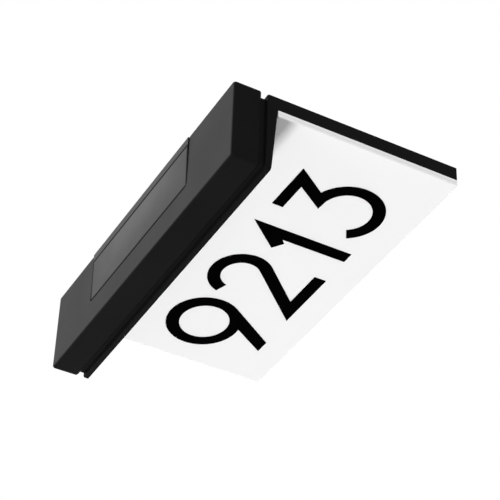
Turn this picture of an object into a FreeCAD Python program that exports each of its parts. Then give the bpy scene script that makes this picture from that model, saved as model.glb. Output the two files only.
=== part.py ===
import FreeCAD, Part
import math
import os
import re
import Sketcher
from FreeCAD import Placement, Rotation, Vector

# Illuminated house number sign: a wall-hung back frame with a white face plate, under a
# projecting housing that carries a solar panel, a battery, a controller and a downlight.
# Frame: X to the right, Z up, the front faces -Y, the wall is the plane Y = 0.
# Origin: centre of the four wall-screw holes. Lengths in millimetres.

doc = FreeCAD.newDocument("HouseNumberSign")

SIZES = {
    # whole sign
    "sign_width": 336,
    "sign_depth": 75,
    "plate_height": 176,          # lower edge of the sign to the top of the ledge
    "shadow_gap": 5.5,            # open height between ledge and housing
    "housing_height": 24.5,
    "origin_height": 80,          # wall-screw centre above the lower edge
    "edge_radius": 2.5,
    # back frame and its ledge
    "frame_depth": 12.5,
    "frame_wall": 3,
    "plate_wall": 4,
    "ledge_front": 4.5,
    "ledge_back": 9,
    "ledge_chamfer": 1,
    "rib_thickness": 1.6,
    "rib_setback": 5.5,
    "ribs_across": 11,
    "ribs_up": 5,
    # lip of the ledge inside the housing
    "groove_depth": 3.4,
    "lip_thickness": 2.4,
    "lip_overlap": 4,
    "seal_lift": 0.6,
    "seal_height": 2.6,
    # housing
    "housing_wall": 2.6,
    "housing_chamfer": 1.5,
    "boss_side": 7,
    "boss_depth": 11,
    "boss_play": 1.5,
    "back_row_share": 0.05,
    "inner_screw_x": 30,
    "stiffener_height": 4,
    "stiffener_thickness": 1.6,
    "stiffener_spacing": 22,
    # face plate
    "face_thickness": 6,
    "face_gap": 0.4,
    "face_edge": 0.5,
    "tape_thickness": 0.5,
    "tape_width": 16,
    "tape_inset": 9,
    # solar panel in the top
    "panel_width": 182,
    "panel_reach": 50,
    "panel_rise": 1,
    "panel_corner": 3,
    "panel_gap": 0.8,
    "panel_depth": 5,
    "panel_seal": 0.6,
    "panel_rim": 7,
    "panel_hollow": 1,
    "panel_land": 5,
    "glass_thickness": 2,
    "glass_gap": 0.5,
    "cell_count": 6,
    "cell_gap": 0.9,
    "cell_side_margin": 5.8,
    "cell_thickness": 0.3,
    "cell_margin": 4,
    "cell_play": 0.05,
    # downlight
    "lens_inset": 23,
    "lens_play": 1.2,
    "lens_share": 0.42,
    "lens_thickness": 1.8,
    "lens_seal": 0.4,
    "land_share": 0.08,
    "lens_gap": 0.2,
    "light_board_overhang": 6,
    "light_board_play": 0.3,
    "board_thickness": 1.6,
    "led_count": 12,
    "led_length": 3.5,
    "led_width": 2.8,
    "led_height": 0.8,
    # battery
    "battery_radius": 9.15,
    "battery_length": 65,
    "battery_fit": 0.25,
    "battery_share": 0.12,
    "battery_x": -60,
    "battery_lift": 5,
    "contact_space": 2,
    "holder_wall": 1.6,
    "ear_spacing": 90,
    "ear_width": 9,
    "ear_reach": 5.5,
    "contact_thickness": 0.4,
    "door_thickness": 2.4,
    "door_seal": 0.6,
    "door_margin": 3,
    "door_tab": 9,
    "door_gap": 0.3,
    # controller
    "control_x": 88,
    "control_gap": 1,
    "control_width": 84,
    "control_depth": 36,
    "control_lift": 9,
    "post_side": 6,
    "post_inset": 4.5,
    "plug_length": 8,
    "plug_width": 7,
    "plug_height": 6,
    "coil_side": 8,
    "coil_height": 4.5,
    "capacitor_radius": 2.5,
    "capacitor_height": 7,
    "capacitor_spacing": 7,
    "chip_height": 1.2,
    "lead_width": 3.2,
    "lead_thickness": 1.6,
    "lead_bend": 3,
    "lead_hole_radius": 3,
    "solar_lead_inset": 15,
    # push button
    "button_x": 110,
    "button_radius": 5,
    "button_play": 0.3,
    "button_proud": 1.5,
    "button_travel": 1.2,
    "button_edge": 0.8,
    "stem_radius": 1.5,
    "flange_radius": 7,
    "flange_thickness": 1.2,
    "button_seal_thickness": 0.8,
    "dome_thickness": 0.6,
    "switch_side": 6,
    "switch_height": 3.5,
    "plunger_radius": 1.7,
    "plunger_height": 0.5,
    # fasteners
    "screw_radius": 1.5,
    "screw_head": 2.8,
    "screw_head_height": 1.8,
    "screw_seat": 2.5,
    "small_screw_radius": 1,
    "small_screw_head": 1.9,
    "small_screw_head_height": 1.2,
    "small_screw_bite": 2.2,
    "lock_screw_tail": 2,
    "screw_play": 0.2,
    # wall bracket
    "bracket_thickness": 1.5,
    "bracket_width": 240,
    "bracket_top": 64,
    "bracket_bottom": 71,
    "bracket_border": 30,
    "bracket_side": 45,
    "wall_hole_radius": 2.5,
    "wall_holes_across": 190,
    "wall_holes_up": 90,
    "hook_spacing": 138,
    "hook_width": 18,
    "hook_reach": 6,
    "hook_height": 7,
    "hook_fit": 0.4,
    "catch_thickness": 2,
    "bracket_room": 2.5,
}

PLACES = {
    "half_width": "sign_width / 2",
    "sign_bottom": "-origin_height",
    "ledge_top": "plate_height - origin_height",
    "front_under": "ledge_top - ledge_front",
    "under_slope": "(ledge_back - ledge_front) / (sign_depth - frame_depth)",
    "plate_top": "ledge_top - ledge_back",
    "housing_bottom": "ledge_top + shadow_gap",
    "housing_top": "housing_bottom + housing_height",
    "ceiling": "housing_top - housing_wall",
    "recess_floor": "housing_top - panel_depth",
    "low_ceiling": "recess_floor - housing_wall",
    "lip_inside": "groove_depth + lip_thickness",
    "panel_half": "panel_width / 2",
    "panel_base": "recess_floor + panel_seal",
    "panel_slope": "panel_rise / panel_reach",
    "cell_floor": "glass_thickness + cell_thickness + cell_play",
    "cell_spacing": "(panel_width - 2 * cell_side_margin) / cell_count",
    "cell_width": "cell_spacing - cell_gap",
    "tape_front": "-frame_depth - tape_thickness",
    "face_front": "tape_front - face_thickness",
    "bay_half_width": "battery_radius + battery_fit",
    "bay_half_length": "battery_length + 1.5 * contact_space",
    "door_half_width": "bay_half_width + door_margin",
    "door_half_length": "bay_half_length + door_tab",
    "door_screw_reach": "bay_half_length + door_tab / 2",
    "spare_depth": "sign_depth + face_front - 2 * (door_half_width + screw_head)",
    "lens_length": "sign_width - 2 * lens_inset",
    "lens_width": "spare_depth * lens_share",
    "lens_land": "spare_depth * land_share",
    "lens_front": "-sign_depth + lip_inside + lens_play",
    "lens_back": "lens_front + lens_width",
    "lens_middle": "lens_front + lens_width / 2",
    "slot_half_length": "lens_length / 2 - lens_land",
    "slot_half_width": "lens_width / 2 - lens_land",
    "light_board_length": "lens_length + 2 * light_board_overhang",
    "light_board_width": "lens_width - 2 * light_board_play",
    "led_spacing": "(lens_length - 2 * lens_land) / (led_count + 0.5)",
    "battery_y": "-lens_back - spare_depth * battery_share - door_half_width",
    "battery_middle": "ledge_top + battery_lift",
    "control_y": "-lens_back - control_depth / 2 - control_gap",
    "solar_lead_x": "panel_half - solar_lead_inset",
    "control_under": "ledge_top + control_lift",
    "control_over": "control_under + board_thickness",
    "flange_under": "ledge_top + button_seal_thickness",
    "flange_over": "flange_under + flange_thickness",
    "plunger_end": "control_under - switch_height - plunger_height",
    "back_row": "face_front - screw_head - spare_depth * back_row_share",
    "corner_x": "half_width - lip_inside - boss_side / 2 - boss_play",
    "front_row": "-sign_depth + lip_inside + boss_side / 2 + boss_play",
    "light_screw_x": "light_board_length / 2 - light_board_overhang / 2",
    "light_over": "ledge_top + board_thickness",
    "cavity_top": "plate_top - frame_wall",
    "cavity_half": "half_width - frame_wall",
    "hook_x": "hook_spacing / 2",
    "wall_hole_x": "wall_holes_across / 2",
    "wall_hole_z": "wall_holes_up / 2",
    "tab_over": "sign_bottom + frame_wall + bracket_room + bracket_thickness",
}


# ---------------------------------------------------------------- driving sheets

def prefixed(formula, sheets):
    """The formula with each size written as Sheet.alias."""
    def with_sheet(match):
        word = match.group(0)
        for sheet_name, table in sheets:
            if word in table:
                return sheet_name + "." + word
        return word
    return re.sub(r"[a-z][a-z_]*[a-z]", with_sheet, formula)


sizes = doc.addObject("Spreadsheet::Sheet", "Sizes")
for row, (alias, number) in enumerate(SIZES.items(), start=1):
    sizes.set("A%d" % row, alias)
    sizes.set("B%d" % row, str(number))
    sizes.setAlias("B%d" % row, alias)

places = doc.addObject("Spreadsheet::Sheet", "Places")
for row, (alias, formula) in enumerate(PLACES.items(), start=1):
    places.set("A%d" % row, alias)
    places.set("B%d" % row, "=" + prefixed(formula, [("Sizes", SIZES)]))
    places.setAlias("B%d" % row, alias)
doc.recompute()


def value(alias):
    """The number in a cell of either sheet."""
    sheet = sizes if alias in SIZES else places
    return float(sheet.get(alias))


def bind(item, path, formula):
    item.setExpression(path, prefixed(formula, [("Sizes", SIZES), ("Places", PLACES)]))


# ---------------------------------------------------------------- making features

def new_body(label):
    return doc.addObject("PartDesign::Body", label)


def new_sketch(body, plane, offset="0"):
    """A sketch on one of the body's origin planes, moved along the plane's normal."""
    sketch = body.newObject("Sketcher::SketchObject", body.Name + "_sketch")
    for feature in body.Origin.OriginFeatures:
        if feature.Role == plane + "_Plane":
            sketch.AttachmentSupport = [(feature, "")]
    sketch.MapMode = "FlatFace"
    bind(sketch, "AttachmentOffset.Base.z", offset)
    return sketch


def pin_point(sketch, geometry, point, across, up):
    """Hold a sketch point at two formulas from the sketch origin."""
    for kind, formula in (("DistanceX", across), ("DistanceY", up)):
        index = sketch.addConstraint(Sketcher.Constraint(kind, -1, 1, geometry, point, 1.0))
        bind(sketch, "Constraints[%d]" % index, formula)


def outline(sketch, points):
    """A closed polygon whose corners are pairs of formulas."""
    first = len(sketch.Geometry)
    count = len(points)
    for index in range(count):
        angle = 2 * math.pi * index / count
        turn = 2 * math.pi * (index + 1) / count
        start = Vector(math.cos(angle), math.sin(angle), 0)
        end = Vector(math.cos(turn), math.sin(turn), 0)
        sketch.addGeometry(Part.LineSegment(start, end), False)
    for index in range(count):
        following = (index + 1) % count
        sketch.addConstraint(
            Sketcher.Constraint("Coincident", first + index, 2, first + following, 1))
    for index, (across, up) in enumerate(points):
        pin_point(sketch, first + index, 1, across, up)


def rectangle(sketch, left, right, low, high):
    outline(sketch, [(left, low), (right, low), (right, high), (left, high)])


def square(sketch, across, up, side):
    """A square about a centre."""
    rectangle(sketch, "%s - %s / 2" % (across, side), "%s + %s / 2" % (across, side),
              "%s - %s / 2" % (up, side), "%s + %s / 2" % (up, side))


def circle(sketch, across, up, radius):
    index = sketch.addGeometry(Part.Circle(Vector(0, 0, 0), Vector(0, 0, 1), 1.0), False)
    pin_point(sketch, index, 3, across, up)
    size = sketch.addConstraint(Sketcher.Constraint("Radius", index, 1.0))
    bind(sketch, "Constraints[%d]" % size, radius)


def pad(body, sketch, length, midplane=False, backwards=False):
    feature = body.newObject("PartDesign::Pad", body.Name + "_pad")
    feature.Profile = sketch
    feature.Midplane = midplane
    feature.Reversed = backwards
    bind(feature, "Length", length)
    return feature


def pocket(body, sketch, length=None, midplane=False, backwards=False):
    """A cut along the sketch's reversed normal, or along its normal when backwards."""
    feature = body.newObject("PartDesign::Pocket", body.Name + "_pocket")
    feature.Profile = sketch
    feature.Midplane = midplane
    feature.Reversed = backwards
    if length is None:
        feature.Type = "ThroughAll"
    else:
        bind(feature, "Length", length)
    return feature


def edges_where(feature, test):
    """Names of the feature's edges whose bounding box passes the test."""
    doc.recompute()
    names = []
    for index, edge in enumerate(feature.Shape.Edges, start=1):
        if test(edge.BoundBox):
            names.append("Edge%d" % index)
    return names


def near(first, second):
    return abs(first - second) < 0.01


def upright(box):
    """True for the box of an edge that runs along Z."""
    return box.XLength < 0.01 and box.YLength < 0.01


def dress(body, kind, feature, test, size):
    """A Fillet or Chamfer on the edges that pass the test."""
    names = edges_where(feature, test)
    dressed = body.newObject("PartDesign::" + kind, body.Name + "_" + kind.lower())
    dressed.Base = (feature, names)
    bind(dressed, "Radius" if kind == "Fillet" else "Size", size)
    return dressed


def box(name, corner, spans):
    """A block from its lowest corner, all six values as formulas."""
    block = doc.addObject("Part::Box", name)
    for axis, formula in zip("xyz", corner):
        bind(block, "Placement.Base." + axis, formula)
    for side, formula in zip(("Length", "Width", "Height"), spans):
        bind(block, side, formula)
    return block


def rod(name, start, radius, length, axis="z"):
    """A cylinder from the centre of its first end, along +X, +Y or +Z."""
    cylinder = doc.addObject("Part::Cylinder", name)
    turns = {"x": Rotation(Vector(0, 1, 0), 90), "y": Rotation(Vector(1, 0, 0), -90),
             "z": Rotation()}
    cylinder.Placement = Placement(Vector(0, 0, 0), turns[axis])
    for letter, formula in zip("xyz", start):
        bind(cylinder, "Placement.Base." + letter, formula)
    bind(cylinder, "Radius", radius)
    bind(cylinder, "Height", length)
    return cylinder


def fuse(label, items):
    joined = doc.addObject("Part::MultiFuse", label)
    joined.Shapes = items
    return joined


def cut(label, base, tool):
    result = doc.addObject("Part::Cut", label)
    result.Base = base
    result.Tool = tool
    return result


def group(label, items):
    """Like pieces that share one node, kept as separate solids."""
    together = doc.addObject("Part::Compound", label)
    together.Links = items
    return together


def prism(name, sides, start, radius, length):
    """An upright prism from the centre of its lower end."""
    block = doc.addObject("Part::Prism", name)
    block.Polygon = sides
    for letter, formula in zip("xyz", start):
        bind(block, "Placement.Base." + letter, formula)
    bind(block, "Circumradius", radius)
    bind(block, "Height", length)
    return block


def pan_screws(label, spots, seat, length, radius, head, head_height):
    """Screws driven upwards, with a hexagon socket: seat is the head's bearing face."""
    made = []
    for index, (across, along) in enumerate(spots, start=1):
        tag = "%s_%d" % (label, index)
        base = "%s - %s" % (seat, head_height)
        shank = prism(tag + "_shank", 8, (across, along, seat), radius, length)
        top = rod(tag + "_head", (across, along, base), head, head_height)
        drive = prism(tag + "_drive", 6, (across, along, base), radius, head_height + " / 2")
        made.append(cut(tag, fuse(tag + "_solid", [shank, top]), drive))
    return group(label, made)


def hexagon_screws(label, spots, seat, length):
    """Small screws driven downwards through a board, with hexagon heads."""
    made = []
    for index, (across, along) in enumerate(spots, start=1):
        tag = "%s_%d" % (label, index)
        shank = prism(tag + "_shank", 8, (across, along, "%s - (%s)" % (seat, length)),
                      "small_screw_radius", length)
        top = prism(tag + "_head", 6, (across, along, seat), "small_screw_head",
                    "small_screw_head_height")
        made.append(fuse(tag, [shank, top]))
    return group(label, made)


# ---------------------------------------------------------------- the sloped underside

def under(depth):
    """Height of the ledge's sloped underside at a y position."""
    return "(front_under - ((%s) + sign_depth) * under_slope)" % depth


def sloped_outline(sketch, front, back, low, high):
    """A slab's section parallel to the underside, between two heights above it."""
    outline(sketch, [(front, "%s + %s" % (under(front), low)),
                     (back, "%s + %s" % (under(back), low)),
                     (back, "%s + %s" % (under(back), high)),
                     (front, "%s + %s" % (under(front), high))])


def sloped_slab(label, middle, length, front, back, low, high):
    body = new_body(label)
    sketch = new_sketch(body, "YZ", middle)
    sloped_outline(sketch, front, back, low, high)
    pad(body, sketch, length, midplane=True)
    return body


def panel_surface(depth, drop="0"):
    """Height of the solar panel's sloped top at a y position, less a drop."""
    return "(housing_top + panel_rise + (%s) * panel_slope - (%s))" % (depth, drop)


HOUSING_SCREWS = [("corner_x", "back_row"), ("-corner_x", "back_row"),
                  ("inner_screw_x", "back_row"), ("-inner_screw_x", "back_row"),
                  ("corner_x", "front_row"), ("-corner_x", "front_row")]
DOOR_SCREWS = [("battery_x + door_screw_reach", "-battery_y"),
               ("battery_x - door_screw_reach", "-battery_y")]
LIGHT_SCREWS = [("light_screw_x", "lens_middle"), ("-light_screw_x", "lens_middle")]
HOLDER_SCREWS = [("battery_x %s ear_spacing / 2" % side,
                  "-battery_y + bay_half_width + holder_wall + ear_reach / 2")
                 for side in "+-"]
CONTROL_SCREWS = [("control_x %s (control_width / 2 - post_inset)" % side,
                   "-control_y %s (control_depth / 2 - post_inset)" % end)
                  for side in "+-" for end in "+-"]
LOCK_SCREWS = [("wall_hole_x", "-bracket_thickness - hook_reach / 2"),
               ("-wall_hole_x", "-bracket_thickness - hook_reach / 2")]


# ---------------------------------------------------------------- moulded shells

def upper_housing():
    """Black moulded cover: one shell, open below, with a recess for the solar panel."""
    body = new_body("upper_housing")
    plan = new_sketch(body, "XY", "housing_bottom")
    rectangle(plan, "-half_width", "half_width", "-sign_depth", "0")
    block = pad(body, plan, "housing_height")
    top = value("housing_top")
    bottom = value("housing_bottom")
    front = -value("sign_depth")
    rounded = dress(body, "Fillet", block,
                    lambda b: (near(b.ZMin, top) and b.YMin < -1)
                    or (upright(b) and near(b.YMin, front)), "edge_radius")
    dress(body, "Chamfer", rounded,
          lambda b: near(b.ZMax, bottom) and b.YMin < -1, "housing_chamfer")
    hollow = new_sketch(body, "XY", "housing_bottom")
    rectangle(hollow, "-half_width + housing_wall", "half_width - housing_wall",
              "-sign_depth + housing_wall", "-housing_wall")
    pocket(body, hollow, "low_ceiling - housing_bottom", backwards=True)
    ends = new_sketch(body, "XY", "housing_bottom")
    for side in ("", "-"):
        rectangle(ends, side + "(half_width - housing_wall)",
                  side + "(panel_half + panel_gap + housing_wall)",
                  "-sign_depth + housing_wall", "-housing_wall")
    pocket(body, ends, "ceiling - housing_bottom", backwards=True)
    recess = new_sketch(body, "XY", "housing_top")
    rectangle(recess, "-panel_half - panel_gap", "panel_half + panel_gap",
              "-panel_reach - panel_gap", "1")
    sunk = pocket(body, recess, "panel_depth")
    recess_x = value("panel_half") + value("panel_gap")
    recess_y = -value("panel_reach") - value("panel_gap")
    dress(body, "Fillet", sunk,
          lambda b: upright(b) and near(abs(b.XMin), recess_x) and near(b.YMin, recess_y),
          "panel_corner + panel_gap")
    lead_hole = new_sketch(body, "XY", "recess_floor")
    circle(lead_hole, "solar_lead_x", "-control_y", "lead_hole_radius")
    pocket(body, lead_hole, "2 * housing_wall")
    for spots, reach in ((HOUSING_SCREWS[:2] + HOUSING_SCREWS[4:], "ceiling"),
                         (HOUSING_SCREWS[2:4], "low_ceiling")):
        bosses = new_sketch(body, "XY", "ledge_top")
        for across, along in spots:
            square(bosses, across, along, "boss_side")
        pad(body, bosses, reach + " - ledge_top + housing_wall / 2")
    pilots = new_sketch(body, "XY", "ledge_top")
    for across, along in HOUSING_SCREWS:
        circle(pilots, across, along, "screw_radius + screw_play / 4")
    pocket(body, pilots, "boss_depth", backwards=True)
    stiffeners = new_sketch(body, "XY", "ceiling - stiffener_height")
    for side in ("", "-"):
        for step in ("1", "2"):
            middle = "(panel_half + panel_gap + housing_wall + %s * stiffener_spacing)" % step
            rectangle(stiffeners, side + "(%s - stiffener_thickness / 2)" % middle,
                      side + "(%s + stiffener_thickness / 2)" % middle,
                      "-sign_depth + housing_wall / 2", "-housing_wall / 2")
    pad(body, stiffeners, "stiffener_height + housing_wall / 2")
    return body


def back_frame():
    """Black L-shaped moulding: ribbed back plate below, ledge with a sealing lip above."""
    body = new_body("back_frame")
    profile = new_sketch(body, "YZ")
    outline(profile, [("0", "sign_bottom"), ("-frame_depth", "sign_bottom"),
                      ("-frame_depth", "plate_top"), ("-sign_depth", "front_under"),
                      ("-sign_depth", "ledge_top"), ("0", "ledge_top")])
    block = pad(body, profile, "sign_width", midplane=True)
    top = value("ledge_top")
    front = -value("sign_depth")
    rounded = dress(body, "Fillet", block,
                    lambda b: upright(b) and near(b.YMin, front), "edge_radius")
    dress(body, "Chamfer", rounded,
          lambda b: near(b.ZMin, top) and b.YMin < -1, "ledge_chamfer")
    add_rear_ribs(body)
    lip = new_sketch(body, "XY", "ledge_top")
    for inset in ("groove_depth", "lip_inside"):
        rectangle(lip, "-half_width + " + inset, "half_width - " + inset,
                  "-sign_depth + " + inset, "-" + inset)
    pad(body, lip, "shadow_gap + lip_overlap")
    cut_light_slot(body)
    cut_battery_bay(body)
    add_screw_holes(body)
    return body


def add_rear_ribs(body):
    """Hollow rear of the plate with crossed ribs, cleared where the bracket reaches in."""
    hollow = new_sketch(body, "XZ")
    rectangle(hollow, "-cavity_half", "cavity_half", "sign_bottom + frame_wall", "cavity_top")
    pocket(body, hollow, "frame_depth - plate_wall", backwards=True)
    for along, count, span, start in (
            ("X_Axis", "ribs_across", "2 * cavity_half", "-cavity_half"),
            ("Z_Axis", "ribs_up", "(cavity_top - sign_bottom - frame_wall)",
             "sign_bottom + frame_wall")):
        first = "(%s + %s / (%s + 1))" % (start, span, count)
        sketch = new_sketch(body, "XZ", "rib_setback")
        low = first + " - rib_thickness / 2"
        high = first + " + rib_thickness / 2"
        if along == "X_Axis":
            rectangle(sketch, low, high, "sign_bottom + frame_wall / 2",
                      "cavity_top + frame_wall / 2")
        else:
            rectangle(sketch, "-cavity_half - frame_wall / 2", "cavity_half + frame_wall / 2",
                      low, high)
        rib = pad(body, sketch, "frame_depth - rib_setback - plate_wall / 2")
        row = body.newObject("PartDesign::LinearPattern", "ribs_along_" + along[0].lower())
        row.Originals = [rib]
        for feature in body.Origin.OriginFeatures:
            if feature.Role == along:
                row.Direction = (feature, [""])
        bind(row, "Length", "%s * (%s - 1) / (%s + 1)" % (span, count, count))
        bind(row, "Occurrences", count)
        body.Tip = row
    clear = new_sketch(body, "XZ")
    for side in ("", "-"):
        rectangle(clear, side + "(hook_x - hook_width / 2 - bracket_room)",
                  side + "(hook_x + hook_width / 2 + bracket_room)",
                  "bracket_top - bracket_room", "bracket_top + hook_height + 2 * bracket_room")
        rectangle(clear, side + "(wall_hole_x - hook_width / 2 - bracket_room)",
                  side + "(wall_hole_x + hook_width / 2 + bracket_room)",
                  "sign_bottom + frame_wall", "tab_over + bracket_room")
        for level in ("wall_hole_z", "-wall_hole_z"):
            circle(clear, side + "wall_hole_x", level, "2 * wall_hole_radius + bracket_room")
    pocket(body, clear, "frame_depth - plate_wall", backwards=True)
    # each catch hangs over an upturned hook of the bracket
    for side in ("", "-"):
        catch = new_sketch(body, "YZ", side + "hook_x")
        lip_back = "-(bracket_thickness + hook_fit)"
        lip_front = "(%s - catch_thickness)" % lip_back
        hook_floor = "bracket_top + bracket_thickness"
        roof = "(bracket_top + hook_height + hook_fit)"
        outline(catch, [("-frame_depth + plate_wall / 2", roof), (lip_front, roof),
                        (lip_front, hook_floor), (lip_back, hook_floor),
                        (lip_back, roof + " + catch_thickness"),
                        ("-frame_depth + plate_wall / 2", roof + " + catch_thickness")])
        pad(body, catch, "hook_width", midplane=True)


def cut_light_slot(body):
    """Rebate for the lens in the sloped underside, and the slot that the light leaves by."""
    rebate = new_sketch(body, "YZ")
    sloped_outline(rebate, "lens_front - lens_gap", "lens_back + lens_gap", "-1",
                   "lens_thickness + lens_seal")
    pocket(body, rebate, "lens_length + 2 * lens_gap", midplane=True)
    slot = new_sketch(body, "XY", "ledge_top")
    rectangle(slot, "-slot_half_length", "slot_half_length",
              "lens_middle - slot_half_width", "lens_middle + slot_half_width")
    pocket(body, slot, "ledge_back")


def cut_battery_bay(body):
    """Opening for the batteries with a rebate for the door and its seal."""
    rebate = new_sketch(body, "YZ", "battery_x")
    sloped_outline(rebate, "-battery_y - door_half_width - door_gap",
                   "-battery_y + door_half_width + door_gap", "-1", "door_thickness + door_seal")
    pocket(body, rebate, "2 * (door_half_length + door_gap)", midplane=True)
    opening = new_sketch(body, "XY", "ledge_top")
    rectangle(opening, "battery_x - bay_half_length", "battery_x + bay_half_length",
              "-battery_y - bay_half_width", "-battery_y + bay_half_width")
    pocket(body, opening, "ledge_back")


def add_screw_holes(body):
    """Holes for every screw and the button, and the posts under the controller."""
    posts = new_sketch(body, "XY", "ledge_top")
    for across, along in CONTROL_SCREWS:
        square(posts, across, along, "post_side")
    pad(body, posts, "control_lift")
    through = new_sketch(body, "XY", "ledge_top")
    for across, along in HOUSING_SCREWS:
        circle(through, across, along, "screw_radius + screw_play")
    circle(through, "button_x", "-control_y", "button_radius + button_play")
    pocket(body, through, "ledge_back")
    sinks = new_sketch(body, "XY", "ledge_top - screw_seat")
    for across, along in HOUSING_SCREWS:
        circle(sinks, across, along, "screw_head + screw_play")
    pocket(body, sinks, "ledge_back")
    blind = new_sketch(body, "XY", "ledge_top")
    for across, along in LIGHT_SCREWS + HOLDER_SCREWS:
        circle(blind, across, along, "small_screw_radius + screw_play / 4")
    pocket(body, blind, "ledge_front / 2 + 1")
    post_holes = new_sketch(body, "XY", "control_under")
    for across, along in CONTROL_SCREWS:
        circle(post_holes, across, along, "small_screw_radius + screw_play / 4")
    pocket(body, post_holes, "control_lift")
    door_holes = new_sketch(body, "XY", "ledge_top - 1")
    for across, along in DOOR_SCREWS:
        circle(door_holes, across, along, "small_screw_radius + screw_play / 4")
    pocket(body, door_holes, "ledge_back")
    locks = new_sketch(body, "XY", "sign_bottom")
    for across, along in LOCK_SCREWS:
        circle(locks, across, along, "screw_radius + screw_play")
    pocket(body, locks, "frame_wall + 1", backwards=True)
    lock_sinks = new_sketch(body, "XY", "sign_bottom")
    for across, along in LOCK_SCREWS:
        circle(lock_sinks, across, along, "screw_head + screw_play")
    pocket(body, lock_sinks, "screw_head_height", backwards=True)


def housing_gasket():
    """Rubber band between the ledge's lip and the inside of the housing."""
    base = "housing_bottom + seal_lift"
    outer = box("gasket_outer", ("-half_width + housing_wall", "-sign_depth + housing_wall", base),
                ("sign_width - 2 * housing_wall", "sign_depth - 2 * housing_wall",
                 "seal_height"))
    inner = box("gasket_inner", ("-half_width + groove_depth", "-sign_depth + groove_depth", base),
                ("sign_width - 2 * groove_depth", "sign_depth - 2 * groove_depth",
                 "seal_height"))
    return cut("housing_gasket", outer, inner)


# ---------------------------------------------------------------- face plate

def face_plate():
    """White acrylic plate over the whole back plate, its edges broken by a small chamfer."""
    body = new_body("face_plate")
    sketch = new_sketch(body, "XZ", "-tape_front")
    rectangle(sketch, "-half_width", "half_width", "sign_bottom", "plate_top - face_gap")
    block = pad(body, sketch, "face_thickness")
    front = value("face_front")
    dress(body, "Chamfer", block,
          lambda b: near(b.YMin, front) and near(b.YMax, front), "face_edge")
    return body


def face_tape():
    """Three strips of foam tape that hold the face plate on the back frame."""
    strips = []
    span = "(plate_top - face_gap - sign_bottom - 2 * tape_inset - tape_width)"
    for index in range(3):
        low = "sign_bottom + tape_inset + %s * %d / 2" % (span, index)
        strips.append(box("tape_strip_%d" % index, ("-half_width + tape_inset", "tape_front", low),
                          ("sign_width - 2 * tape_inset", "tape_thickness", "tape_width")))
    return group("face_tape", strips)


# ---------------------------------------------------------------- solar panel

def solar_frame():
    """Wedge tray in the housing's recess: its raised strip runs along the wall side."""
    body = new_body("solar_frame")
    profile = new_sketch(body, "YZ")
    outline(profile, [("0", "panel_base"), ("0", panel_surface("0")),
                      ("-panel_rim", panel_surface("-panel_rim")),
                      ("-panel_rim", panel_surface("-panel_rim", "glass_thickness")),
                      ("-panel_reach", panel_surface("-panel_reach", "glass_thickness")),
                      ("-panel_reach", "panel_base")])
    block = pad(body, profile, "panel_width", midplane=True)
    front = -value("panel_reach")
    dress(body, "Fillet", block, lambda b: upright(b) and near(b.YMin, front), "panel_corner")
    seat = new_sketch(body, "YZ")
    cells_back = "(-panel_rim - cell_margin + cell_play)"
    cells_front = "(-panel_reach + cell_margin - cell_play)"
    outline(seat, [(cells_front, panel_surface(cells_front, "cell_floor")),
                   (cells_back, panel_surface(cells_back, "cell_floor")),
                   (cells_back, panel_surface(cells_back, "glass_thickness") + " + 1"),
                   (cells_front, panel_surface(cells_front, "glass_thickness") + " + 1")])
    pocket(body, seat, "panel_width - 2 * cell_margin", midplane=True)
    hollow = new_sketch(body, "XY", "panel_base")
    rectangle(hollow, "-panel_half + panel_land", "panel_half - panel_land",
              "-panel_reach + panel_land", "-panel_land")
    pocket(body, hollow, "panel_hollow", backwards=True)
    return body


def solar_glass():
    """Dark laminated sheet, flush with the wedge and rounded at its front corners."""
    body = new_body("solar_glass")
    back = "(-panel_rim - glass_gap)"
    profile = new_sketch(body, "YZ")
    outline(profile, [("-panel_reach", panel_surface("-panel_reach", "glass_thickness")),
                      (back, panel_surface(back, "glass_thickness")),
                      (back, panel_surface(back)),
                      ("-panel_reach", panel_surface("-panel_reach"))])
    block = pad(body, profile, "panel_width", midplane=True)
    front = -value("panel_reach")
    dress(body, "Fillet", block, lambda b: upright(b) and near(b.YMin, front), "panel_corner")
    return body


def solar_cells():
    """A row of thin cells under the glass, tilted with it."""
    cells = []
    front = "(-panel_reach + cell_margin)"
    for index in range(int(value("cell_count"))):
        offset = "(%d - (cell_count - 1) / 2) * cell_spacing" % index
        cell = box("cell_%d" % index,
                   (offset + " - cell_width / 2", front,
                    panel_surface(front, "cell_floor")),
                   ("cell_width", "panel_reach - panel_rim - 2 * cell_margin",
                    "cell_thickness"))
        cell.Placement.Rotation = Rotation(Vector(1, 0, 0), 1)
        bind(cell, "Placement.Rotation.Angle", "atan(panel_slope)")
        cells.append(cell)
    return group("solar_cells", cells)


def solar_gasket():
    """Flat seal between the wedge tray and the floor of the recess."""
    outer = box("solar_seal_outer", ("-panel_half", "-panel_reach + panel_corner",
                                     "recess_floor"),
                ("panel_width", "panel_reach - panel_corner", "panel_seal"))
    inner = box("solar_seal_inner", ("-panel_half + panel_land",
                                     "-panel_reach + panel_corner + panel_land",
                                     "recess_floor"),
                ("panel_width - 2 * panel_land",
                 "panel_reach - panel_corner - 2 * panel_land", "panel_seal"))
    return cut("solar_gasket", outer, inner)


# ---------------------------------------------------------------- downlight

def light_lens():
    """Frosted strip, flush in the sloped underside."""
    return sloped_slab("light_lens", "0", "lens_length", "lens_front", "lens_back",
                       "0", "lens_thickness")


def lens_gasket():
    body = sloped_slab("lens_gasket", "0", "lens_length", "lens_front", "lens_back",
                       "lens_thickness", "(lens_thickness + lens_seal)")
    window = new_sketch(body, "XY", "ledge_top")
    rectangle(window, "-slot_half_length", "slot_half_length",
              "lens_middle - slot_half_width", "lens_middle + slot_half_width")
    pocket(body, window)
    return body


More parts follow.
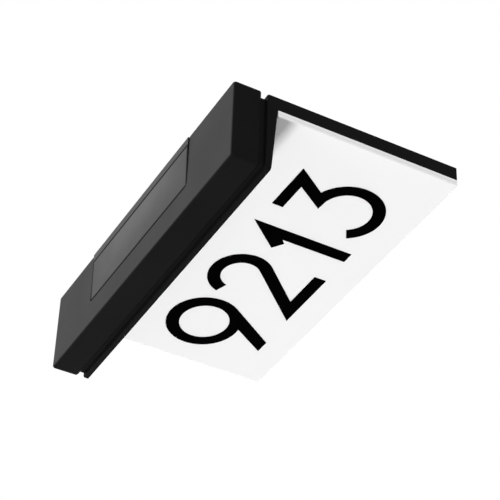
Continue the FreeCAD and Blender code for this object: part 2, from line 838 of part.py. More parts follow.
def light_board():
    """Long circuit board that lies over the slot and carries the light sources."""
    body = new_body("light_board")
    plan = new_sketch(body, "XY", "ledge_top")
    rectangle(plan, "-light_board_length / 2", "light_board_length / 2",
              "lens_middle - light_board_width / 2", "lens_middle + light_board_width / 2")
    for across, along in LIGHT_SCREWS:
        circle(plan, across, along, "small_screw_radius + screw_play")
    pad(body, plan, "board_thickness")
    return body


def light_sources():
    """Small white light packages on the board's underside, inside the slot."""
    chips = []
    for index in range(int(value("led_count"))):
        offset = "(%d - (led_count - 1) / 2) * led_spacing" % index
        chips.append(box("led_%d" % index,
                         (offset + " - led_length / 2", "lens_middle - led_width / 2",
                          "ledge_top - led_height"),
                         ("led_length", "led_width", "led_height")))
    return group("light_sources", chips)


# ---------------------------------------------------------------- battery

def battery_holder():
    """Moulded cradle over the bay: an arched channel, closed at both ends."""
    body = new_body("battery_holder")
    plan = new_sketch(body, "XY", "ledge_top")
    rectangle(plan, "battery_x - bay_half_length - holder_wall",
              "battery_x + bay_half_length + holder_wall",
              "-battery_y - bay_half_width - holder_wall",
              "-battery_y + bay_half_width + holder_wall")
    pad(body, plan, "battery_lift + bay_half_width + holder_wall")
    arch = new_sketch(body, "YZ", "battery_x")
    circle(arch, "-battery_y", "battery_middle", "bay_half_width")
    pocket(body, arch, "2 * bay_half_length", midplane=True)
    channel = new_sketch(body, "XY", "ledge_top")
    rectangle(channel, "battery_x - bay_half_length", "battery_x + bay_half_length",
              "-battery_y - bay_half_width", "-battery_y + bay_half_width")
    pocket(body, channel, "battery_lift", backwards=True)
    ears = new_sketch(body, "XY", "ledge_top")
    for across, along in HOLDER_SCREWS:
        rectangle(ears, across + " - ear_width / 2", across + " + ear_width / 2",
                  "-battery_y + bay_half_width + holder_wall / 2",
                  "-battery_y + bay_half_width + holder_wall + ear_reach")
    pad(body, ears, "board_thickness")
    holes = new_sketch(body, "XY", "light_over")
    for across, along in HOLDER_SCREWS:
        circle(holes, across, along, "small_screw_radius + screw_play")
    pocket(body, holes, "board_thickness")
    return body


def battery_cells():
    """Two round cells end to end, each with its raised positive cap."""
    cells = []
    for index, start in enumerate(("battery_x - contact_space / 2 - battery_length",
                                   "battery_x + contact_space / 2"), start=1):
        can = rod("battery_can_%d" % index, (start, "-battery_y", "battery_middle"),
                  "battery_radius", "battery_length - 1", axis="x")
        cap = rod("battery_cap_%d" % index,
                  (start + " + battery_length - 1", "-battery_y", "battery_middle"),
                  "battery_radius / 3", "1", axis="x")
        cells.append(fuse("battery_%d" % index, [can, cap]))
    return group("battery_cells", cells)


def battery_contacts():
    """A spring strip at each end of the bay and a link between the two cells."""
    def on_axis(name, start, length, side):
        return box(name, (start, "-battery_y - %s / 2" % side, "battery_middle - %s / 2" % side),
                   (length, side, side))

    bay_start = "battery_x - bay_half_length"
    bay_end = "battery_x + bay_half_length"
    tab_length = "contact_space - contact_thickness"
    pieces = []
    for name, strip_start, tab_start in (
            ("left", bay_start, bay_start + " + contact_thickness"),
            ("right", bay_end + " - contact_thickness", bay_end + " - contact_space")):
        strip = on_axis("strip_" + name, strip_start, "contact_thickness", "battery_radius")
        tab = on_axis("tab_" + name, tab_start, tab_length, "battery_radius / 2")
        pieces.append(fuse("contact_" + name, [strip, tab]))
    pieces.append(on_axis("contact_link", "battery_x - contact_space / 2", "contact_space",
                          "battery_radius / 2"))
    return group("battery_contacts", pieces)


def battery_door():
    """Cover of the battery bay, flush in the sloped underside, with two screw tabs."""
    body = sloped_slab("battery_door", "battery_x", "2 * door_half_length",
                       "-battery_y - door_half_width", "-battery_y + door_half_width",
                       "0", "door_thickness")
    holes = new_sketch(body, "XY", "ledge_top")
    for across, along in DOOR_SCREWS:
        circle(holes, across, along, "small_screw_radius + screw_play")
    pocket(body, holes)
    sinks = new_sketch(body, "XY", under("-battery_y") + " + small_screw_head_height")
    for across, along in DOOR_SCREWS:
        circle(sinks, across, along, "small_screw_head + screw_play")
    pocket(body, sinks)
    return body


def door_gasket():
    """Seal round the bay, inside the door's two screws."""
    body = sloped_slab("door_gasket", "battery_x", "2 * (bay_half_length + door_margin)",
                       "-battery_y - door_half_width", "-battery_y + door_half_width",
                       "door_thickness", "(door_thickness + door_seal)")
    window = new_sketch(body, "XY", "ledge_top")
    rectangle(window, "battery_x - bay_half_length", "battery_x + bay_half_length",
              "-battery_y - bay_half_width", "-battery_y + bay_half_width")
    pocket(body, window)
    return body


# ---------------------------------------------------------------- controller and button

def control_board():
    """Charge controller on four posts over the ledge."""
    body = new_body("control_board")
    plan = new_sketch(body, "XY", "control_under")
    rectangle(plan, "control_x - control_width / 2", "control_x + control_width / 2",
              "-control_y - control_depth / 2", "-control_y + control_depth / 2")
    for across, along in CONTROL_SCREWS:
        circle(plan, across, along, "small_screw_radius + screw_play")
    pad(body, plan, "board_thickness")
    return body


def board_parts():
    """Three plugs, a coil, two capacitors and two chips on top of the controller."""
    left = "control_x - control_width / 2"
    front = "-control_y - control_depth / 2"
    pieces = [
        box("battery_plug", (left + " + 1", "-battery_y - plug_length / 2", "control_over"),
            ("plug_width", "plug_length", "plug_height")),
        box("light_plug", ("control_x - plug_length / 2", front + " + 1", "control_over"),
            ("plug_length", "plug_width", "plug_height")),
        box("solar_plug", ("solar_lead_x - plug_length / 2", "-control_y - plug_width / 2",
                           "control_over"), ("plug_length", "plug_width", "plug_height")),
        box("coil", ("control_x - 30", "-control_y + 5", "control_over"),
            ("coil_side", "coil_side", "coil_height")),
        box("chip_1", ("control_x - 24", "-control_y - 12", "control_over"),
            ("9", "7", "chip_height")),
        box("chip_2", ("control_x + 13", "-control_y - 9", "control_over"),
            ("5", "5", "chip_height")),
    ]
    for index in range(2):
        across = "control_x + 14 + %d * capacitor_spacing" % index
        pieces.append(rod("capacitor_%d" % index, (across, "-control_y + 8", "control_over"),
                          "capacitor_radius", "capacitor_height"))
    return group("board_parts", pieces)


def tact_switch():
    """Switch on the underside of the controller, above the button's stem."""
    case = box("switch_case", ("button_x - switch_side / 2", "-control_y - switch_side / 2",
                               "control_under - switch_height"),
               ("switch_side", "switch_side", "switch_height"))
    plunger = rod("switch_plunger", ("button_x", "-control_y", "plunger_end"),
                  "plunger_radius", "plunger_height")
    return fuse("tact_switch", [case, plunger])


def push_button():
    """Turned button: a cap through the ledge, a flange inside, a stem to the switch."""
    body = new_body("push_button")
    bind(body, "Placement.Base.x", "button_x")
    bind(body, "Placement.Base.y", "-control_y")
    profile = new_sketch(body, "XZ")
    cap_end = under("-control_y") + " - button_proud"
    stem_end = "(plunger_end - button_travel - button_play)"
    outline(profile, [("0", cap_end), ("button_radius", cap_end),
                      ("button_radius", "flange_under"), ("flange_radius", "flange_under"),
                      ("flange_radius", "flange_over"), ("stem_radius", "flange_over"),
                      ("stem_radius", stem_end), ("0", stem_end)])
    turned = body.newObject("PartDesign::Revolution", "button_turned")
    turned.Profile = profile
    turned.ReferenceAxis = (profile, ["V_Axis"])
    turned.Angle = 360
    doc.recompute()
    lowest = turned.Shape.BoundBox.ZMin
    dress(body, "Chamfer", turned, lambda b: near(b.ZMax, lowest) and b.XLength > 1,
          "button_edge")
    return body


def button_seal():
    """Flat silicone ring under the button's flange."""
    outer = rod("seal_outer", ("button_x", "-control_y", "ledge_top"), "flange_radius",
                "button_seal_thickness")
    inner = rod("seal_inner", ("button_x", "-control_y", "ledge_top"),
                "button_radius + button_play", "button_seal_thickness")
    return cut("button_seal", outer, inner)


def return_dome():
    """Thin silicone wall round the switch, which pushes the button back down."""
    length = "control_under - flange_over"
    outer = rod("dome_outer", ("button_x", "-control_y", "flange_over"), "flange_radius", length)
    inner = rod("dome_inner", ("button_x", "-control_y", "flange_over"),
                "flange_radius - dome_thickness", length)
    return cut("return_dome", outer, inner)


def lead(label, points, across):
    """A flat twin lead: straight runs joined by tangent arcs, its width along one vector."""
    bend = value("lead_bend")
    edges = []
    start = points[0]
    for before, corner, after in zip(points, points[1:], points[2:]):
        inward = (before - corner).normalize()
        onward = (after - corner).normalize()
        half = inward.getAngle(onward) / 2
        setback = bend / math.tan(half)
        first = corner + inward * setback
        last = corner + onward * setback
        bisector = (inward + onward).normalize()
        middle = corner + bisector * (bend / math.sin(half) - bend)
        edges.append(Part.LineSegment(start, first).toShape())
        edges.append(Part.Arc(first, middle, last).toShape())
        start = last
    edges.append(Part.LineSegment(start, points[-1]).toShape())
    spine = Part.Wire(edges)
    side = across * (value("lead_width") / 2)
    face = (points[1] - points[0]).normalize().cross(across) * (value("lead_thickness") / 2)
    corners = [points[0] + side + face, points[0] - side + face,
               points[0] - side - face, points[0] + side - face]
    section = Part.makePolygon(corners + corners[:1])
    strip = doc.addObject("Part::Feature", label)
    strip.Shape = spine.makePipeShell([section], True, False)
    return strip


def leads():
    """Leads from the controller's plugs to the light board, battery and solar panel."""
    plug_middle = value("control_over") + value("plug_height") / 2
    plug_front = -value("control_y") - value("control_depth") / 2 + 1
    plug_left = value("control_x") - value("control_width") / 2 + 1
    plug_top = value("control_over") + value("plug_height")
    light_x = value("control_x")
    light_y = value("lens_middle") + 1
    battery_y = -value("battery_y")
    holder_end = value("battery_x") + value("bay_half_length") + value("holder_wall")
    solar_x = value("solar_lead_x")
    solar_y = -value("control_y")
    tray_floor = value("panel_base") + value("panel_hollow")
    light_lead = lead("light_lead", [
        Vector(light_x, plug_front, plug_middle), Vector(light_x, light_y, plug_middle),
        Vector(light_x, light_y, value("light_over"))], Vector(1, 0, 0))
    battery_lead = lead("battery_lead", [Vector(holder_end, battery_y, plug_middle),
                                         Vector(plug_left, battery_y, plug_middle)],
                        Vector(0, 1, 0))
    solar_lead = lead("solar_lead", [Vector(solar_x, solar_y, plug_top),
                                     Vector(solar_x, solar_y, tray_floor)], Vector(1, 0, 0))
    return group("leads", [light_lead, battery_lead, solar_lead])


# ---------------------------------------------------------------- wall bracket

def wall_bracket():
    """Pressed steel plate: upturned hooks at its top, tapped tabs at its lower edge."""
    body = new_body("wall_bracket")
    plate = new_sketch(body, "XZ")
    rectangle(plate, "-bracket_width / 2", "bracket_width / 2", "-bracket_bottom", "bracket_top")
    rectangle(plate, "-bracket_width / 2 + bracket_side", "bracket_width / 2 - bracket_side",
              "-bracket_bottom + bracket_border", "bracket_top - bracket_border")
    pad(body, plate, "bracket_thickness")
    for side in ("", "-"):
        hook = new_sketch(body, "YZ", side + "hook_x")
        floor_over = "bracket_top + bracket_thickness"
        outline(hook, [("0", "bracket_top - 1"), ("0", floor_over),
                       ("-hook_reach + bracket_thickness", floor_over),
                       ("-hook_reach + bracket_thickness", "bracket_top + hook_height"),
                       ("-hook_reach", "bracket_top + hook_height"),
                       ("-hook_reach", "bracket_top"), ("-bracket_thickness", "bracket_top"),
                       ("-bracket_thickness", "bracket_top - 1")])
        pad(body, hook, "hook_width - 2 * hook_fit", midplane=True)
        tab = new_sketch(body, "YZ", side + "wall_hole_x")
        tab_reach = "-hook_reach - bracket_thickness"
        outline(tab, [("0", "tab_over - bracket_thickness"), ("0", "-bracket_bottom + 1"),
                      ("-bracket_thickness", "-bracket_bottom + 1"),
                      ("-bracket_thickness", "tab_over"), (tab_reach, "tab_over"),
                      (tab_reach, "tab_over - bracket_thickness")])
        pad(body, tab, "hook_width", midplane=True)
    wall_holes = new_sketch(body, "XZ")
    for across in ("wall_hole_x", "-wall_hole_x"):
        for up in ("wall_hole_z", "-wall_hole_z"):
            circle(wall_holes, across, up, "wall_hole_radius")
    pocket(body, wall_holes, "bracket_thickness", backwards=True)
    tapped = new_sketch(body, "XY", "tab_over")
    for across, along in LOCK_SCREWS:
        circle(tapped, across, along, "screw_radius + screw_play / 4")
    pocket(body, tapped, "bracket_thickness")
    return body


# ---------------------------------------------------------------- assembly

NODES = [
    upper_housing(), back_frame(), housing_gasket(),
    face_plate(), face_tape(),
    solar_frame(), solar_glass(), solar_cells(), solar_gasket(),
    light_lens(), lens_gasket(), light_board(), light_sources(),
    battery_holder(), battery_cells(), battery_contacts(), battery_door(), door_gasket(),
    control_board(), board_parts(), tact_switch(),
    push_button(), button_seal(), return_dome(), leads(),
    wall_bracket(),
    pan_screws("housing_screws", HOUSING_SCREWS, "(ledge_top - screw_seat)",
               "screw_seat + boss_depth - 1", "screw_radius", "screw_head",
               "screw_head_height"),
    pan_screws("door_screws", DOOR_SCREWS, "(%s + small_screw_head_height)" % under("-battery_y"),
               "door_thickness - small_screw_head_height + door_seal + small_screw_bite",
               "small_screw_radius", "small_screw_head", "small_screw_head_height"),
    pan_screws("lock_screws", LOCK_SCREWS, "(sign_bottom + screw_head_height)",
               "frame_wall - screw_head_height + bracket_room + bracket_thickness"
               " + lock_screw_tail", "screw_radius", "screw_head", "screw_head_height"),
    hexagon_screws("ledge_screws", LIGHT_SCREWS + HOLDER_SCREWS, "light_over",
                   "board_thickness + ledge_front / 2"),
    hexagon_screws("control_screws", CONTROL_SCREWS, "control_over",
                   "board_thickness + 2 * control_lift / 3"),
]
doc.recompute()


def check_document():
    """Stop on a failed object, a bad shape, or a cut or addition that changed nothing."""
    for item in doc.Objects:
        if "Invalid" in item.State or "Error" in item.State:
            raise RuntimeError("%s failed: %s" % (item.Label, item.State))
        if item.TypeId in ("PartDesign::Pocket", "PartDesign::Pad"):
            before = item.BaseFeature.Shape.Volume if item.BaseFeature else 0
            change = item.Shape.Volume - before
            if item.TypeId.endswith("Pocket"):
                change = -change
            if change < 0.01:
                raise RuntimeError("%s changes nothing" % item.Label)
    for node in NODES:
        if node.Shape.isNull() or not node.Shape.isValid():
            raise RuntimeError("%s has no valid shape" % node.Label)


check_document()
os.makedirs("parts", exist_ok=True)
for node in NODES:
    node.Shape.exportStep("parts/%s.step" % node.Label)
    print("%-20s solids %d volume %.0f mm3" % (node.Label, len(node.Shape.Solids),
                                              node.Shape.Volume))
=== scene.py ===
import math

import bmesh
import bpy
from mathutils import Matrix, Vector


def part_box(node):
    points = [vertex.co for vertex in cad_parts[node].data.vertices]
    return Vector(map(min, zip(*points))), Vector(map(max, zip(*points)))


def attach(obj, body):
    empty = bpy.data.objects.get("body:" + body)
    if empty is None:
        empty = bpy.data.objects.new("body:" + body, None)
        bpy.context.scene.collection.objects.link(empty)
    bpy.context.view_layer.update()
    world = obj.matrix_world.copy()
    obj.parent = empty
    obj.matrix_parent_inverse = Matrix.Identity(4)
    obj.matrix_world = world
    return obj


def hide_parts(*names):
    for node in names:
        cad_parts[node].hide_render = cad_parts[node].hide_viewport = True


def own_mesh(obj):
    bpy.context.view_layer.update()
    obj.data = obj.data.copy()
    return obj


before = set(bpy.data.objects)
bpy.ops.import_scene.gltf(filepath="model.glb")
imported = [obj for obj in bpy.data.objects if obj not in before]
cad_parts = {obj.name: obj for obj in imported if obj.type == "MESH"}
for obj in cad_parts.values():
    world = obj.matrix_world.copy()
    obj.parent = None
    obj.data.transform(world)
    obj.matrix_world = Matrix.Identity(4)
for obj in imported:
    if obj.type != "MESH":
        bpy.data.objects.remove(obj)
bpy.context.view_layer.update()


# Wall bracket: pressed steel plate, 1.5 mm thick, zinc plated after bending. Its crystals show
# as a faint spangle. It is screwed to the wall and carries the sign on two upturned hooks.

MM = 0.001


def new_material(name):
    """An empty procedural material: (material, nodes, link, shader)."""
    material = bpy.data.materials.new(name)
    material.use_nodes = True
    tree = material.node_tree
    return material, tree.nodes, tree.links.new, tree.nodes["Principled BSDF"]


def dress(name, material):
    """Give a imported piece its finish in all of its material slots."""
    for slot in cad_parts[name].material_slots:
        slot.material = material


def place_in_metres(nodes):
    """The surface point as a texture vector, so that a finish has its real scale."""
    return nodes.new("ShaderNodeNewGeometry").outputs["Position"]


def cells(nodes, link, scale):
    """Pattern of closed cells, such as crystals or bubbles."""
    texture = nodes.new("ShaderNodeTexVoronoi")
    texture.inputs["Scale"].default_value = scale
    link(place_in_metres(nodes), texture.inputs["Vector"])
    return texture


def noise(nodes, link, scale, detail=3.0):
    """Cloudy pattern of values round 0.5."""
    texture = nodes.new("ShaderNodeTexNoise")
    texture.inputs["Scale"].default_value = scale
    texture.inputs["Detail"].default_value = detail
    link(place_in_metres(nodes), texture.inputs["Vector"])
    return texture.outputs["Fac"]


def ramp(nodes, link, factor, low, high, start=0.3, end=0.7):
    """Colour that runs from low to high while the factor runs from start to end."""
    blend = nodes.new("ShaderNodeValToRGB")
    blend.color_ramp.elements[0].position = start
    blend.color_ramp.elements[1].position = end
    blend.color_ramp.elements[0].color = (*low, 1)
    blend.color_ramp.elements[1].color = (*high, 1)
    link(factor, blend.inputs["Fac"])
    return blend.outputs["Color"]


def spread(nodes, link, factor, low, high, start=0.3, end=0.7):
    """Number that runs from low to high while the factor runs from start to end."""
    span = nodes.new("ShaderNodeMapRange")
    span.inputs["From Min"].default_value = start
    span.inputs["From Max"].default_value = end
    span.inputs["To Min"].default_value = low
    span.inputs["To Max"].default_value = high
    link(factor, span.inputs["Value"])
    return span.outputs["Result"]


def bump(nodes, link, shader, height, depth):
    """Relief as deep as the depth, in metres, where the height runs from 0 to 1."""
    relief = nodes.new("ShaderNodeBump")
    relief.inputs["Distance"].default_value = depth
    link(height, relief.inputs["Height"])
    link(relief.outputs["Normal"], shader.inputs["Normal"])


zinc, nodes, link, shader = new_material("zinc_plate")
crystals = cells(nodes, link, scale=160)
spangle = ramp(nodes, link, crystals.outputs["Color"], low=(0.44, 0.45, 0.47),
               high=(0.54, 0.55, 0.57), start=0, end=1)
zinc_rough = spread(nodes, link, noise(nodes, link, scale=60), low=0.34, high=0.5)
link(spangle, shader.inputs["Base Color"])
link(zinc_rough, shader.inputs["Roughness"])
shader.inputs["Metallic"].default_value = 1.0
bump(nodes, link, shader, noise(nodes, link, scale=900), depth=0.02 * MM)
dress("wall_bracket", zinc)


# Back frame: one black moulding, ribbed behind, with the ledge that carries everything else, and
# its battery door, moulded apart and slightly paler. A spark-eroded tool gives both a fine even
# grain, and the edges are paled a little by handling and by a painted highlight.

def new_group(name, given, results):
    """An empty shared effect with number sockets: (group, nodes, link, entry, leave)."""
    group = bpy.data.node_groups.new(name, "ShaderNodeTree")
    for socket in given:
        group.interface.new_socket(socket, in_out="INPUT", socket_type="NodeSocketFloat")
    for socket in results:
        group.interface.new_socket(socket, in_out="OUTPUT", socket_type="NodeSocketFloat")
    entry = group.nodes.new("NodeGroupInput")
    leave = group.nodes.new("NodeGroupOutput")
    return group, group.nodes, group.links.new, entry, leave


def use_group(nodes, group, **values):
    """A shared effect placed in a material with its own values: its outputs."""
    placed = nodes.new("ShaderNodeGroup")
    placed.node_tree = group
    for socket, value in values.items():
        placed.inputs[socket].default_value = value
    return placed.outputs


def combine(nodes, link, operation, *values):
    """One operation of a Math node on sockets and plain numbers."""
    result = nodes.new("ShaderNodeMath")
    result.operation = operation
    for place, value in enumerate(values):
        if isinstance(value, float):
            result.inputs[place].default_value = value
        else:
            link(value, result.inputs[place])
    return result.outputs["Value"]


def fade(nodes, link, value, start, end):
    """Smooth step from 0 to 1 while the value runs from start to end."""
    step = nodes.new("ShaderNodeMapRange")
    step.interpolation_type = "SMOOTHSTEP"
    step.inputs["From Min"].default_value = start
    step.inputs["From Max"].default_value = end
    link(value, step.inputs["Value"])
    return step.outputs["Result"]


def mix_colours(nodes, link, factor, under, over):
    """From the colour under, where the factor is 0, to the colour over, where it is 1."""
    blend = nodes.new("ShaderNodeMix")
    blend.data_type = "RGBA"
    link(factor, blend.inputs["Factor"])
    for colour, socket in ((under, blend.inputs["A"]), (over, blend.inputs["B"])):
        if isinstance(colour, tuple):
            socket.default_value = (*colour, 1)
        else:
            link(colour, socket)
    return blend.outputs["Result"]


def moulded_grain():
    """Node group: grain height and slow tone change of a spark-eroded moulding."""
    group, nodes, link, entry, leave = new_group("moulded_grain", ["Scale"], ["Height", "Tone"])
    pits = nodes.new("ShaderNodeTexNoise")
    pits.inputs["Detail"].default_value = 2
    link(place_in_metres(nodes), pits.inputs["Vector"])
    link(entry.outputs["Scale"], pits.inputs["Scale"])
    link(pits.outputs["Fac"], leave.inputs["Height"])
    link(noise(nodes, link, scale=14, detail=4), leave.inputs["Tone"])
    return group


def handled_and_highlit_edges():
    """Node group: mask of the outer edges, paled by handling and by a painted highlight."""
    group, nodes, link, entry, leave = new_group("handled_and_highlit_edges", ["Width"], ["Mask"])
    rounded = nodes.new("ShaderNodeBevel")
    rounded.samples = 4
    link(entry.outputs["Width"], rounded.inputs["Radius"])
    flat = nodes.new("ShaderNodeNewGeometry")
    turn = nodes.new("ShaderNodeVectorMath")
    turn.operation = "DOT_PRODUCT"
    link(rounded.outputs["Normal"], turn.inputs[0])
    link(flat.outputs["Normal"], turn.inputs[1])
    link(spread(nodes, link, turn.outputs["Value"], low=0, high=1, start=1.0, end=0.7),
         leave.inputs["Mask"])
    return group


def settled_dust_and_sheen():
    """Node group: patchy mask of what faces up, where dust settles and a painted sheen stands
    for the light that tops catch.
    """
    group, nodes, link, entry, leave = new_group("settled_dust_and_sheen", ["Amount"], ["Mask"])
    facing = nodes.new("ShaderNodeSeparateXYZ")
    link(nodes.new("ShaderNodeNewGeometry").outputs["Normal"], facing.inputs["Vector"])
    upward = fade(nodes, link, facing.outputs["Z"], start=0.7, end=1.0)
    patches = spread(nodes, link, noise(nodes, link, scale=22, detail=5), low=0.85, high=1.0)
    patchy = combine(nodes, link, "MULTIPLY", upward, patches)
    link(combine(nodes, link, "MULTIPLY", patchy, entry.outputs["Amount"]), leave.inputs["Mask"])
    return group


GRAIN = moulded_grain()
EDGE_WEAR_AND_HIGHLIGHT = handled_and_highlit_edges()
DUST_AND_SHEEN = settled_dust_and_sheen()
# Dust on upward faces, with a painted sheen: tops are mixed towards this paler grey, as the
# light they catch would pale them.
DUST_AND_SHEEN_COLOUR = (0.056, 0.056, 0.057)
EDGE_WIDTH = 0.6 * MM
EDGE_GAIN = 1.6                    # how many times paler the edges are, from wear and a painted highlight
ROUGH_SPREAD = 0.08


def black_moulding(name, dark, pale, rough, grain_scale, grain_depth, specular, dust_and_sheen_amount):
    """Black plastic: grain, slow changes of tone, edges paled by wear and a painted highlight,
    and dust with a painted sheen on what faces up.
    """
    material, nodes, link, shader = new_material(name)
    grain = use_group(nodes, GRAIN, Scale=grain_scale)
    edges = use_group(nodes, EDGE_WEAR_AND_HIGHLIGHT, Width=EDGE_WIDTH)
    dust_and_sheen = use_group(nodes, DUST_AND_SHEEN, Amount=dust_and_sheen_amount)
    tone = ramp(nodes, link, grain["Tone"], low=dark, high=pale)
    # Painted highlight, with some wear: the outer edges are mixed towards a paler tone.
    worn_and_highlit_edge = tuple(EDGE_GAIN * channel for channel in pale)
    worn_and_highlit_tone = mix_colours(nodes, link, edges["Mask"], under=tone, over=worn_and_highlit_edge)
    # Dust, with a painted sheen: upward faces are mixed towards a paler grey.
    dusted_and_sheened = mix_colours(nodes, link, dust_and_sheen["Mask"], under=worn_and_highlit_tone, over=DUST_AND_SHEEN_COLOUR)
    link(dusted_and_sheened, shader.inputs["Base Color"])
    link(spread(nodes, link, grain["Tone"], low=rough, high=rough + ROUGH_SPREAD),
         shader.inputs["Roughness"])
    shader.inputs["Specular IOR Level"].default_value = specular
    bump(nodes, link, shader, grain["Height"], grain_depth)
    return material


frame_black = black_moulding("frame_black", dark=(0.0035, 0.0035, 0.0036),
                             pale=(0.005, 0.005, 0.0051), rough=0.4, grain_scale=1500,
                             grain_depth=0.04 * MM, specular=0.025, dust_and_sheen_amount=0.1)
dress("back_frame", frame_black)

door_black = black_moulding("door_black", dark=(0.009, 0.009, 0.0092),
                            pale=(0.012, 0.012, 0.0122), rough=0.45, grain_scale=1300,
                            grain_depth=0.04 * MM, specular=0.06, dust_and_sheen_amount=0.1)
dress("battery_door", door_black)


# Foam tape: three grey strips of closed-cell foam, sticky on both sides. They hold the face
# plate on the back frame and take up what the two are out of flat.

foam, nodes, link, shader = new_material("foam_tape")
bubbles = cells(nodes, link, scale=2500).outputs["Distance"]
link(ramp(nodes, link, bubbles, low=(0.16, 0.16, 0.16), high=(0.3, 0.3, 0.3), start=0, end=0.8),
     shader.inputs["Base Color"])
shader.inputs["Roughness"].default_value = 0.95
bump(nodes, link, shader, bubbles, depth=0.1 * MM)
dress("face_tape", foam)


# Face plate: two bonded sheets of white acrylic, sawn and flame polished. The bond shows as a
# thin grey line round the edge.

BOND_LEVEL = -16.0 * MM            # where the two sheets meet
BOND_HALF = 0.22 * MM
BOND_GREY = (0.78, 0.79, 0.79)


def offset_from(nodes, link, axis, level):
    """How far a point lies past a level on one axis, in metres."""
    spot = nodes.new("ShaderNodeSeparateXYZ")
    link(place_in_metres(nodes), spot.inputs["Vector"])
    return combine(nodes, link, "SUBTRACT", spot.outputs[axis], level)


acrylic, nodes, link, shader = new_material("acrylic_white")
from_bond = combine(nodes, link, "ABSOLUTE", offset_from(nodes, link, "Y", BOND_LEVEL))
off_bond = spread(nodes, link, from_bond, low=0, high=1, start=BOND_HALF, end=2.5 * BOND_HALF)
sheet = ramp(nodes, link, noise(nodes, link, scale=9, detail=2), low=(0.885, 0.885, 0.89),
             high=(0.9, 0.9, 0.9))
sheet_rough = spread(nodes, link, noise(nodes, link, scale=40), low=0.3, high=0.36)
link(mix_colours(nodes, link, off_bond, under=BOND_GREY, over=sheet),
     shader.inputs["Base Color"])
link(sheet_rough, shader.inputs["Roughness"])
shader.inputs["Specular IOR Level"].default_value = 0.3
bump(nodes, link, shader, noise(nodes, link, scale=25, detail=1), depth=0.02 * MM)
dress("face_plate", acrylic)


# Numerals: black cast acrylic, cut to a plain geometric face and bonded to the plate. The widths
# and heights are in millimetres from the plate's lower left corner.

plate_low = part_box("face_plate")[0]
NUMERAL_THICK = 0.5 * MM
EDGE_BREAK = 0.12 * MM             # how far the polished edges are rounded
STEPS = 72                         # points in a full turn


def arc(centre, radii, start, end):
    """Points on an ellipse between two angles in degrees, ends included."""
    count = int(STEPS * abs(end - start) / 360)
    points = []
    for index in range(count + 1):
        angle = math.radians(start + (end - start) * index / count)
        points.append((centre[0] + radii[0] * math.cos(angle),
                       centre[1] + radii[1] * math.sin(angle)))
    return points


def tangent_angle(centre, radii, point):
    """Angle in degrees where a line from the point touches the ellipse."""
    across = (point[0] - centre[0]) / radii[0]
    up = (point[1] - centre[1]) / radii[1]
    reach = math.hypot(across, up)
    return math.degrees(math.atan2(up, across) + math.acos(1 / reach))


def add_object(name, data):
    """A new object in the scene."""
    added = bpy.data.objects.new(name, data)
    bpy.context.collection.objects.link(added)
    return added


def cut_numeral(name, loops, material):
    """A flat numeral from its outline and any inner loop, with softened front edges."""
    mesh = bpy.data.meshes.new(name)
    shape = bmesh.new()
    edges = []
    for loop in loops:
        corners = [shape.verts.new((plate_low[0] + across * MM, 0, plate_low[2] + up * MM))
                   for across, up in loop]
        for first, second in zip(corners, corners[1:] + corners[:1]):
            edges.append(shape.edges.new((first, second)))
    bmesh.ops.triangle_fill(shape, use_beauty=True, use_dissolve=False, edges=edges)
    raised = bmesh.ops.extrude_face_region(shape, geom=shape.faces[:])
    lifted = [item for item in raised["geom"] if isinstance(item, bmesh.types.BMVert)]
    bmesh.ops.translate(shape, verts=lifted, vec=(0, -NUMERAL_THICK, 0))
    bmesh.ops.recalc_face_normals(shape, faces=shape.faces[:])
    shape.to_mesh(mesh)
    shape.free()
    mesh.materials.append(material)
    numeral = add_object(name, mesh)
    numeral.location = (0, plate_low[1], 0)
    softened = numeral.modifiers.new("softened", "BEVEL")
    softened.limit_method = "ANGLE"
    softened.angle_limit = math.radians(60)
    softened.width = EDGE_BREAK
    softened.segments = 2
    bpy.context.view_layer.update()
    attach(numeral, "sign")


def mottled(name, dark, pale, patch_scale, rough, rough_scale=None, grain_scale=None,
            grain_depth=None, metallic=0.0, specular=0.5):
    """A finish with slow changes of tone, and of gloss and grain where they have a scale."""
    material, nodes, link, shader = new_material(name)
    link(ramp(nodes, link, noise(nodes, link, patch_scale), low=dark, high=pale),
         shader.inputs["Base Color"])
    if rough_scale:
        low, high = rough
        link(spread(nodes, link, noise(nodes, link, rough_scale), low, high),
             shader.inputs["Roughness"])
    else:
        shader.inputs["Roughness"].default_value = rough
    shader.inputs["Metallic"].default_value = metallic
    shader.inputs["Specular IOR Level"].default_value = specular
    if grain_scale:
        bump(nodes, link, shader, noise(nodes, link, grain_scale), grain_depth)
    return material


ink = mottled("numeral_black", dark=(0.0002, 0.0002, 0.0002), pale=(0.0005, 0.0005, 0.0005),
              patch_scale=30, rough=(0.42, 0.5), rough_scale=70, grain_scale=600,
              grain_depth=0.01 * MM, specular=0.002)

nine_ring = (61.9, 89.9)
nine_eye = (61.9, 89.2)
nine_outer = (37.4, 33.4)
nine_inner = (25.3, 22.1)
nine_foot = [(45.7, 24.8), (61.1, 24.8)]
nine_touch = tangent_angle(nine_ring, nine_outer, nine_foot[1])
cut_numeral("numeral_nine", [arc(nine_ring, nine_outer, start=nine_touch, end=277) + nine_foot,
                             arc(nine_eye, nine_inner, start=360, end=5)], ink)

two_bow = (139.6, 93.9)
two_outer = (31.4, 28.4)
two_inner = (19.0, 17.2)
two_crook = (128.0, 37.4)
two_toe = (101.0, 26.0)
two_foot = [two_crook, (170.6, 37.4), (170.6, 26.0), two_toe]
two_right = tangent_angle(two_bow, two_outer, two_crook)
two_left = tangent_angle(two_bow, two_inner, two_toe)
cut_numeral("numeral_two", [arc(two_bow, two_outer, start=163, end=two_right) + two_foot
                            + arc(two_bow, two_inner, start=two_left, end=165)], ink)

cut_numeral("numeral_one", [[(214.8, 121.5), (214.4, 26.7), (202.3, 26.7), (202.4, 87.4),
                             (198.0, 83.4), (188.0, 90.3)]], ink)

